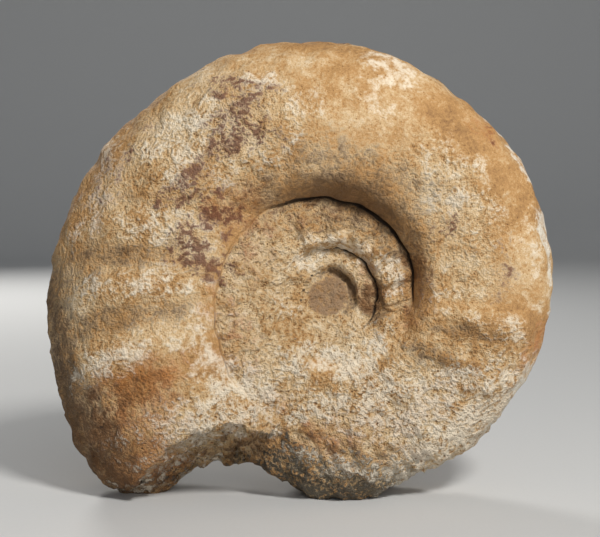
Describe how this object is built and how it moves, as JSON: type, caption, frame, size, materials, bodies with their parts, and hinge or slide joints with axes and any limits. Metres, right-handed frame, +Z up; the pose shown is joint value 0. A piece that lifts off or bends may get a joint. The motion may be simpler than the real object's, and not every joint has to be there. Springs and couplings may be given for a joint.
{
  "type": "ammonite fossil",
  "caption": "Large coiled ammonite fossil in ochre limestone, with low ribs, a sunken centre and a rough broken mouth, standing on worn feet at its rim.",
  "frame": {"origin": "on the ground plane, under the middle of the standing fossil's bounding box", "axes": "+Z up; the coil's axis is along Y and the shown flank faces -Y; +X to the right of that flank, away from the broken mouth"},
  "size_m": [0.3022, 0.0992, 0.2701],
  "materials": {
    "limestone": "weathered ochre limestone with chalky white patches, rust stains and a fine sandy grain"
  },
  "bodies": {
    "root": {"ammonite": "limestone"}
  },
  "joints": []
}
